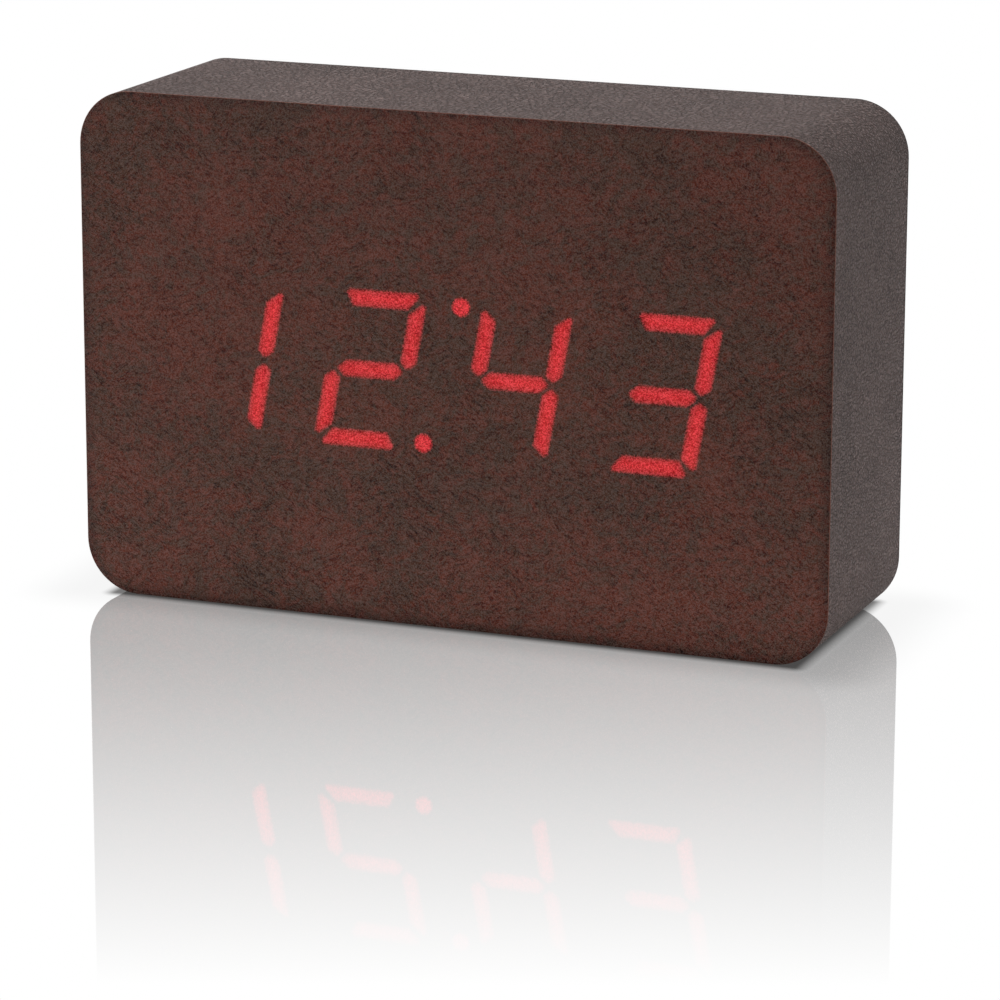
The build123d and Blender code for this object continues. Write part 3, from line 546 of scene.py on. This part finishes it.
def film_sheet(name, material, outer_y, glued_y, opening=None):
    """A film pressed down over its board's eased edge, with an opening where one is cut out."""
    inward = 1 if glued_y > outer_y else -1
    edit = bmesh.new()
    levels = [(inset * mm, outer_y + inward * drop * mm) for inset, drop in edge_roll] + [(0, glued_y)]
    rings = [[edit.verts.new((x, y, z)) for x, z in case_outline(inset)] for inset, y in levels]
    for ring, next_ring in zip(rings, rings[1:]):
        quads_between(edit, ring, next_ring)
    if opening:
        rims = [[edit.verts.new((x, y, z)) for x, z in opening] for y in (outer_y, glued_y)]
        quads_between(edit, *rims)
        for ring, rim_ring in zip((rings[0], rings[-1]), rims):
            pairs = [pair for loop in (ring, rim_ring) for pair in zip(loop, loop[1:] + loop[:1])]
            border = [edit.edges.get(pair) for pair in pairs]
            bmesh.ops.triangle_fill(edit, use_beauty=True, edges=border)
    else:
        edit.faces.new(rings[0])
        edit.faces.new(rings[-1])
    return piece_from(edit, name, material)


front_film = film_sheet("front_film", film.material, film_front_y, film_back_y)
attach(front_film, "clock")
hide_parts("front_skin", "lit_windows")


# The side wrap: a band of thicker pebbled film glued round the four sides of the case, with its two
# ends butted together underneath. Its four long edges are slightly rounded.
wrap_thickness = 0.8 * mm
wrap_edge_radius = 0.36 * mm
wrap_seam_gap = 0.3 * mm
wrap_front_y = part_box("side_wrap")[0].y
wrap_back_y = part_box("side_wrap")[1].y

wrap = Finish("pebbled_wrap_film")
diagonal = (0, radians(-12), radians(32))
wrap_warp = wrap.warping(3 * mm, 2.0, 1.6)
pebble_place = wrap.vectors("ADD", wrap.pattern_place((1.25 * mm, 0.8 * mm, 0.7 * mm), diagonal), wrap_warp)
pebbles = wrap.node("ShaderNodeTexVoronoi", {"feature": "DISTANCE_TO_EDGE"},
                    {"Vector": pebble_place, "Scale": 1.0, "Randomness": 1.0})
pebble_tops = wrap.step(pebbles, 0.0, 0.24)
wrinkles = wrap.noise((1.15 * mm, 0.58 * mm, 0.5 * mm), diagonal, 3.0, 0.6, wrap_warp)
wrap_clouds = wrap.noise((24 * mm, 24 * mm, 24 * mm), detail=2.0)
wrap_grain = wrap.step(wrap.noise((0.34 * mm, 0.34 * mm, 0.34 * mm), detail=1.0, roughness=0.7), 0.3, 0.7)
wrap_light = (0.262, 0.1835, 0.1690, 1)
wrap_dark = (0.056, 0.0372, 0.0335, 1)
# The wrap's colour is darker in the grooves and low wrinkles and lighter on pebble tops and raised
# wrinkles: painted shade and painted sheen of the relief. The clouds and grain are the film's own tone.
wrap_tone_and_relief_shade = pebble_tops * 0.4 + wrinkles * 0.5 + (wrap_clouds - 0.5) * 0.5 + (wrap_grain - 0.5) * 0.4 + 0.02
wrap_relief = wrap.bump(pebble_tops * 0.45 + wrinkles * 0.5 + wrap_grain * 0.05, 2.2 * mm)
wrap.principled({
    "Base Color": wrap.mix(wrap_tone_and_relief_shade, wrap_dark, wrap_light),
    "Roughness": 0.66 - pebble_tops * 0.14, "IOR": 1.26, "Normal": wrap_relief,
})


def shape_tree(name, sizes):
    """A geometry tree with one named input for each size; gives the tree and its input."""
    group = bpy.data.node_groups.new(name, "GeometryNodeTree")
    group.interface.new_socket("Geometry", in_out="INPUT", socket_type="NodeSocketGeometry")
    for label in sizes:
        group.interface.new_socket(label, in_out="INPUT", socket_type="NodeSocketFloat")
    group.interface.new_socket("Geometry", in_out="OUTPUT", socket_type="NodeSocketGeometry")
    tree = Tree(group)
    return tree, tree.node("NodeGroupInput", {}, {}, "Geometry")


def grow(name, tree, result, sizes, points, edges):
    """Closes a tree, runs it on a path of points, and keeps what it grows as a plain piece."""
    tree.node("NodeGroupOutput", {}, {"Geometry": result})
    path_mesh = bpy.data.meshes.new(name + "_path")
    path_mesh.from_pydata(points, edges, [])
    path = bpy.data.objects.new(name + "_path", path_mesh)
    bpy.context.scene.collection.objects.link(path)
    modifier = path.modifiers.new(name, "NODES")
    modifier.node_group = tree.tree
    for item in tree.tree.interface.items_tree:
        if item.name in sizes:
            modifier[item.identifier] = sizes[item.name]
    grown = path.evaluated_get(bpy.context.evaluated_depsgraph_get())
    piece = bpy.data.objects.new(name, bpy.data.meshes.new_from_object(grown))
    bpy.context.scene.collection.objects.link(piece)
    path.modifiers.clear()
    bpy.data.objects.remove(path)
    return piece


wrap_sizes = {
    "Thickness": wrap_thickness, "Width": wrap_back_y - wrap_front_y, "Edge radius": wrap_edge_radius,
    "Middle Y": (wrap_front_y + wrap_back_y) / 2,
}
band, band_input = shape_tree("wrap_band", wrap_sizes)
band_path = band.node("GeometryNodeMeshToCurve", {}, {"Mesh": band_input})
band_path = band.node("GeometryNodeSetCurveNormal", {"mode": "Z_UP"}, {"Curve": band_path})
section = band.node("GeometryNodeCurvePrimitiveQuadrilateral", {}, {
    "Width": band_input.other("Thickness"), "Height": band_input.other("Width")})
section = band.node("GeometryNodeFilletCurve", {"mode": "POLY"}, {
    "Curve": section, "Radius": band_input.other("Edge radius"), "Count": 4})
swept = band.node("GeometryNodeCurveToMesh", {}, {
    "Curve": band_path, "Profile Curve": section, "Fill Caps": True})
stood = band.node("GeometryNodeTransform", {}, {
    "Geometry": swept, "Rotation": (pi / 2, 0, 0),
    "Translation": band.node("ShaderNodeCombineXYZ", {}, {"Y": band_input.other("Middle Y")})})
stood = band.node("GeometryNodeRealizeInstances", {}, {"Geometry": stood})
stood = band.node("GeometryNodeSetMaterial", {}, {"Geometry": stood, "Material": wrap.material})
mid_band = case_outline(wrap_thickness / 2)
seam_x, seam_z = wrap_seam_gap / 2, wrap_thickness / 2
route = [(seam_x, seam_z)] + mid_band + [(-seam_x, seam_z)]
wrap_band = grow("side_wrap_film", band, stood, wrap_sizes,
                 [(x, z, 0) for x, z in route], [(index, index + 1) for index in range(len(route) - 1)])
edit = bmesh.new()
edit.from_mesh(wrap_band.data)
bpy.data.objects.remove(wrap_band)
wrap_band = piece_from(edit, "side_wrap_film", wrap.material)
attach(wrap_band, "clock")
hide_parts("side_wrap")


# The back film is the same pebbled film as the wrap, pressed down over the rear board's eased edge
# like the front one, and cut out for the housing.
opening_width = 108.6 * mm
opening_height = 48.0 * mm
opening_corners = [(side * opening_width / 2, middle_z + level * opening_height / 2)
                   for side, level in ((-1, -1), (1, -1), (1, 1), (-1, 1))]
back_glued, back_outer = (corner.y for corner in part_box("rear_skin"))
back_film = film_sheet("back_film", wrap.material, back_outer, back_glued, opening_corners)
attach(back_film, "clock")
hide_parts("rear_skin")


# The boards of the case are raw medium-density fibreboard, sawn and milled, under the films.
def dress(finish, *nodes):
    """Gives CAD nodes whose shape is right their finish."""
    for node in nodes:
        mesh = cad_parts[node].data
        mesh.materials.clear()
        mesh.materials.append(finish.material)


board = Finish("fibreboard")
fibres = board.noise((1.6 * mm, 0.5 * mm, 0.5 * mm), (0, radians(25), radians(30)), 5.0, 0.7)
lumps = board.noise((9 * mm, 9 * mm, 9 * mm), detail=2.0)
board_light = colour(190, 160, 122)
board_dark = colour(146, 112, 78)
board.principled({
    "Base Color": board.mix(fibres * 0.7 + lumps * 0.3, board_dark, board_light),
    "Roughness": 0.85, "Normal": board.bump(fibres, 0.08 * mm),
})
dress(board, "front_panel", "case_ring", "rear_panel")


# Housing, door and buttons are black plastic mouldings with a fine spark-eroded texture. The outer
# edges of the housing and the door are eased, as their moulds leave them.
def moulding(name, tone, roughness, texture_size, texture_depth):
    """Plastic with the fine texture of its mould and a little flow mottling."""
    finish = Finish(name)
    spark = finish.noise((texture_size, texture_size, texture_size), detail=3.0, roughness=0.6)
    flow = finish.noise((14 * mm, 14 * mm, 14 * mm), detail=2.0)
    dark = tuple(value * 0.82 for value in tone[:3]) + (1,)
    pale = tuple(value * 1.2 for value in tone[:3]) + (1,)
    finish.principled({
        "Base Color": finish.mix(spark * 0.5 + flow * 0.5, dark, pale),
        "Roughness": roughness - 0.06 + flow * 0.12, "IOR": 1.46,
        "Normal": finish.bump(spark, texture_depth),
    })
    return finish


weld_reach = 0.002 * mm
back_margin = 0.01 * mm
flat_angle = radians(1)
sharp_angle = radians(40)
smooth_angle = radians(20)


def eased_copy(node, body, finish, radius):
    """Shows a copy of a moulding whose outer edges are rounded off."""
    edit = bmesh.new()
    edit.from_mesh(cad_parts[node].data)
    bmesh.ops.remove_doubles(edit, verts=edit.verts, dist=weld_reach)
    bmesh.ops.dissolve_limit(edit, angle_limit=flat_angle, verts=edit.verts, edges=edit.edges)
    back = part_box(node)[1].y - back_margin
    rim = [edge for edge in edit.edges if all(vertex.co.y > back for vertex in edge.verts)
           and edge.is_manifold and edge.calc_face_angle() > sharp_angle]
    bmesh.ops.bevel(edit, geom=rim, offset=radius, offset_type="OFFSET", segments=2, profile=0.5,
                    affect="EDGES", clamp_overlap=True)
    piece = piece_from(edit, node + "_moulding", finish.material, smooth_angle)
    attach(piece, body)
    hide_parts(node)


black_plastic = moulding("black_moulding", colour(38, 38, 40), 0.5, 0.4 * mm, 0.05 * mm)
door_plastic = moulding("door_moulding", colour(41, 41, 43), 0.47, 0.4 * mm, 0.05 * mm)
button_plastic = moulding("button_moulding", colour(58, 58, 60), 0.36, 0.25 * mm, 0.015 * mm)
eased_copy("control_housing", "clock", black_plastic, 0.3 * mm)
eased_copy("battery_door", "battery_door", door_plastic, 0.18 * mm)
dress(button_plastic, "set_button", "up_button", "down_button")


# The dot and the two arrows above the buttons are sunk into the plate and filled with pale paint.
mark_rise = 6.2 * mm
mark_reach = 1.9 * mm
paint_depths = (0.2 * mm, 0.3 * mm)
plate_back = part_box("control_housing")[1].y
first_low, first_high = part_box("set_button")
last_low, last_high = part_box("down_button")
mark_z = (first_low.z + first_high.z) / 2 + mark_rise
mark_left = (first_low.x + first_high.x) / 2 - mark_reach
mark_right = (last_low.x + last_high.x) / 2 + mark_reach
plate_x = black_plastic.node("ShaderNodeSeparateXYZ", {}, {"Vector": black_plastic.place}, "X")
plate_y = plate_x.other("Y")
inside = black_plastic.maths("GREATER_THAN", mark_reach, abs(plate_x.other("Z") - mark_z))
for more, less in ((plate_x, mark_left), (mark_right, plate_x),
                   (plate_back - paint_depths[0], plate_y), (plate_y, plate_back - paint_depths[1])):
    inside = inside * black_plastic.maths("GREATER_THAN", more, less)
shell = next(node for node in black_plastic.tree.nodes if node.type == "BSDF_PRINCIPLED")
plain_black = Socket(black_plastic, shell.inputs["Base Color"].links[0].from_socket)
pale_paint = colour(206, 206, 202)
painted = black_plastic.mix(inside, plain_black, pale_paint)
black_plastic.tree.links.new(painted.output, shell.inputs["Base Color"])


# The pieces inside that are moulded, dipped or sleeved in plastic: white reflector, milky diffuser,
# switch, socket and buzzer cases, chips, lamps, capacitors, sensor, wires and ribbon.
white_plastic = moulding("white_moulding", colour(232, 232, 228), 0.35, 0.6 * mm, 0.02 * mm)
milky_sheet = moulding("milky_sheet", colour(238, 238, 232), 0.3, 1.2 * mm, 0.01 * mm)
switch_plastic = moulding("switch_moulding", colour(44, 44, 46), 0.42, 0.3 * mm, 0.02 * mm)
chip_black = moulding("chip_epoxy", colour(30, 30, 32), 0.55, 0.2 * mm, 0.03 * mm)
lamp_resin = moulding("lamp_resin", colour(240, 232, 205), 0.2, 0.3 * mm, 0.01 * mm)
sleeve = moulding("capacitor_sleeve", colour(38, 52, 84), 0.3, 0.8 * mm, 0.01 * mm)
sensor_resin = moulding("sensor_resin", colour(58, 48, 40), 0.25, 0.5 * mm, 0.02 * mm)
red_insulation = moulding("red_insulation", colour(176, 30, 30), 0.4, 0.4 * mm, 0.01 * mm)
black_insulation = moulding("black_insulation", colour(32, 32, 32), 0.4, 0.4 * mm, 0.01 * mm)
grey_ribbon = moulding("grey_ribbon", colour(150, 150, 152), 0.45, 0.5 * mm, 0.02 * mm)
dress(white_plastic, "reflector_frame", "set_plunger", "up_plunger", "down_plunger")
dress(milky_sheet, "diffuser_sheet")
dress(switch_plastic, "tact_switches", "power_socket", "buzzer", "ribbon_headers")
dress(chip_black, "display_driver", "microcontroller")
dress(lamp_resin, "segment_leds")
dress(sleeve, "capacitors")
dress(sensor_resin, "thermistor")
dress(red_insulation, "positive_lead")
dress(black_insulation, "negative_lead")
dress(grey_ribbon, "ribbon_cable")


# The two circuit boards are glass-fibre board under green solder mask, over etched copper tracks.
mask = Finish("solder_mask")
tracks = mask.node("ShaderNodeTexBrick", {}, {
    "Vector": mask.node("ShaderNodeMapping", {"vector_type": "TEXTURE"}, {
        "Vector": mask.place, "Rotation": (radians(90), 0, 0), "Scale": (mm, mm, mm)}),
    "Scale": 0.25, "Mortar Size": 0.012, "Brick Width": 1.6, "Row Height": 0.32}, "Fac")
glass = mask.noise((0.5 * mm, 0.5 * mm, 0.5 * mm), detail=2.0)
mask_green = colour(18, 92, 52)
track_green = colour(44, 128, 70)
mask.principled({
    "Base Color": mask.mix(tracks * 0.8 + glass * 0.15, mask_green, track_green),
    "Roughness": 0.32 + glass * 0.1, "Normal": mask.bump(tracks, 0.035 * mm),
})
dress(mask, "display_board", "control_board")


# Screws, contacts, springs and cans are plated or blackened steel.
def plated(name, tone, roughness, scratch_size):
    """Metal with fine rubbing marks and a slightly uneven plating."""
    finish = Finish(name)
    sizes = (scratch_size * 8, scratch_size, scratch_size)
    marks = finish.noise(sizes, (0, radians(20), radians(40)), 4.0, 0.6)
    bloom_and_painted_sheen = finish.noise((5 * mm, 5 * mm, 5 * mm), detail=2.0)
    dull = tuple(value * 0.75 for value in tone[:3]) + (1,)
    finish.principled({
        "Base Color": finish.mix(bloom_and_painted_sheen * 0.5 + marks * 0.5, dull, tone), "Metallic": 1.0,
        "Roughness": roughness - 0.08 + marks * 0.16, "Normal": finish.bump(marks, 0.01 * mm),
    })
    return finish


black_steel = plated("blackened_steel", colour(88, 88, 92), 0.42, 0.15 * mm)
nickel = plated("nickel_plate", colour(212, 208, 200), 0.24, 0.1 * mm)
brass = plated("brass_pin", colour(214, 178, 100), 0.25, 0.1 * mm)
dress(black_steel, "housing_screws")
dress(nickel, "display_screws", "board_screws", "battery_springs", "contact_plates")
dress(nickel, "microphone", "clock_crystal")
dress(brass, "power_socket_pin")


# The four cells have a plain printed sleeve over a steel can, whose ends stay bare. Each lies
# the way its CAD node does, with its nose towards the plus contact.
band_start = 9.0 * mm
band_end = 12.5 * mm
band_blur = 0.2 * mm
bare_plus_end = 1.7 * mm
bare_minus_end = 0.8 * mm
sleeve_blur = 0.1 * mm
nose_radius = 3 * mm
tip_depth = 0.1 * mm


def cell_sleeve(name, low, high, plus_at):
    """Graphite sleeve with a paler band towards the cell's plus end."""
    finish = Finish(name)
    along = finish.node("ShaderNodeSeparateXYZ", {}, {"Vector": finish.place}, "X")
    length = high.x - low.x
    start, towards = (high.x, -1) if plus_at > 0 else (low.x, 1)
    from_plus = (along - start) * towards
    band = finish.step(from_plus, band_start, band_start + band_blur)
    band = band * (1 - finish.step(from_plus, band_end, band_end + band_blur))
    sleeved = finish.step(from_plus, bare_plus_end, bare_plus_end + sleeve_blur)
    sleeve_end = length - bare_minus_end
    bare = 1 - sleeved * (1 - finish.step(from_plus, sleeve_end, sleeve_end + sleeve_blur))
    scuffs = finish.noise((3 * mm, 0.6 * mm, 0.6 * mm), detail=4.0)
    graphite = finish.mix(scuffs, colour(70, 76, 84), colour(92, 98, 106))
    sleeve_colour = finish.mix(band, graphite, colour(196, 200, 204))
    finish.principled({
        "Base Color": finish.mix(bare, sleeve_colour, colour(205, 203, 198)),
        "Metallic": bare * 0.8 + 0.2, "Roughness": 0.34 + scuffs * 0.1,
        "Normal": finish.bump(scuffs, 0.01 * mm),
    })
    return finish


for number in range(1, 5):
    node = f"aaa_cell_{number}"
    low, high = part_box(node)
    cell_points = [vertex.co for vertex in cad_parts[node].data.vertices]
    tip_radius = max(abs(co.z - (low.z + high.z) / 2) for co in cell_points if co.x > high.x - tip_depth)
    plus_at = 1 if tip_radius < nose_radius else -1
    dress(cell_sleeve(f"cell_sleeve_{number}", low, high, plus_at), node)
